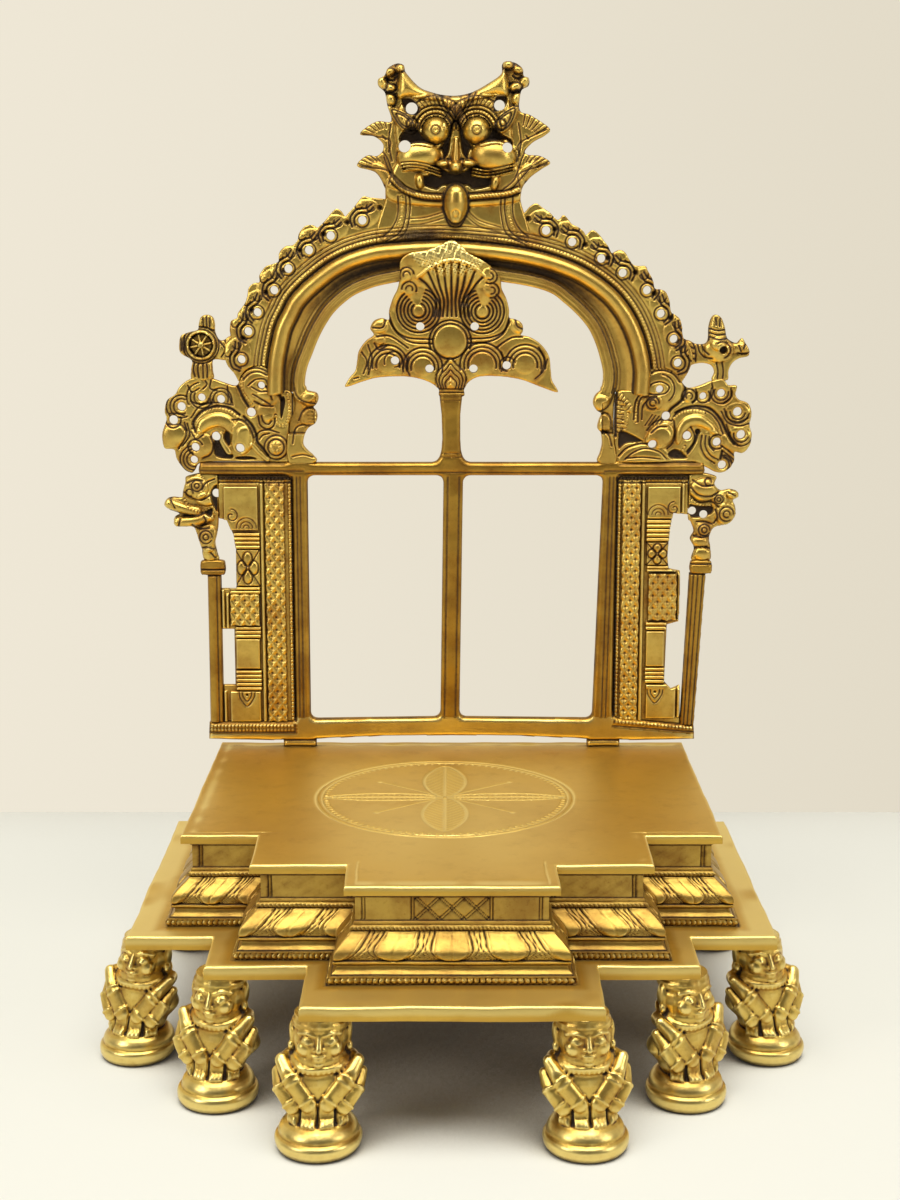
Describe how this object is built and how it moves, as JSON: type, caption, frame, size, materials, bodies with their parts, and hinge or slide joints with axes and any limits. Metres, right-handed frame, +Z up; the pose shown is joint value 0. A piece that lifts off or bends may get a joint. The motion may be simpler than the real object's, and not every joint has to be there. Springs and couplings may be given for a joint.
{
  "type": "deity throne with lift-off arched back",
  "caption": "Cast brass deity throne: stepped lotus pedestal on figure legs, and a pierced arched back with lion mask, makaras and side panels that lifts out of the seat.",
  "frame": {"origin": "on the floor, under the middle of the box around the whole throne", "axes": "+Z up; the front of the seat faces -Y, the pierced back stands at +Y; +X is to the right of someone looking at the front"},
  "size_m": [0.2654, 0.2197, 0.3703],
  "materials": {
    "polished_brass": "rubbed bright, brown in the corners",
    "patinated_brass": "bright on the raised parts, dark brown in the recesses"
  },
  "bodies": {
    "pedestal": {"lower_plate": "polished_brass", "lotus_base": "patinated_brass", "neck": "patinated_brass", "seat_plate": "polished_brass", "leg_front_inner_left": "patinated_brass", "leg_front_inner_right": "patinated_brass", "leg_front_middle_left": "patinated_brass", "leg_front_middle_right": "patinated_brass", "leg_front_outer_left": "patinated_brass", "leg_front_outer_right": "patinated_brass", "leg_rear_left": "patinated_brass", "leg_rear_right": "patinated_brass"},
    "prabhavali": {"back_frame": "polished_brass", "arch_moulding": "polished_brass", "kirtimukha": "patinated_brass", "crown_leaf": "patinated_brass", "chakra_emblem": "patinated_brass", "shankha_emblem": "patinated_brass", "left_pillar_panel": "patinated_brass", "left_colonette": "polished_brass", "left_yali_bracket": "patinated_brass", "left_makara": "patinated_brass", "left_flame_border": "patinated_brass", "right_pillar_panel": "patinated_brass", "right_colonette": "polished_brass", "right_yali_bracket": "patinated_brass", "right_makara": "patinated_brass", "right_flame_border": "patinated_brass"}
  },
  "joints": [
    {"name": "prabhavali_lift", "type": "slide", "parent": "pedestal", "child": "prabhavali", "axis": [0, 0, 1], "range_m": [0, 0.012]}
  ]
}
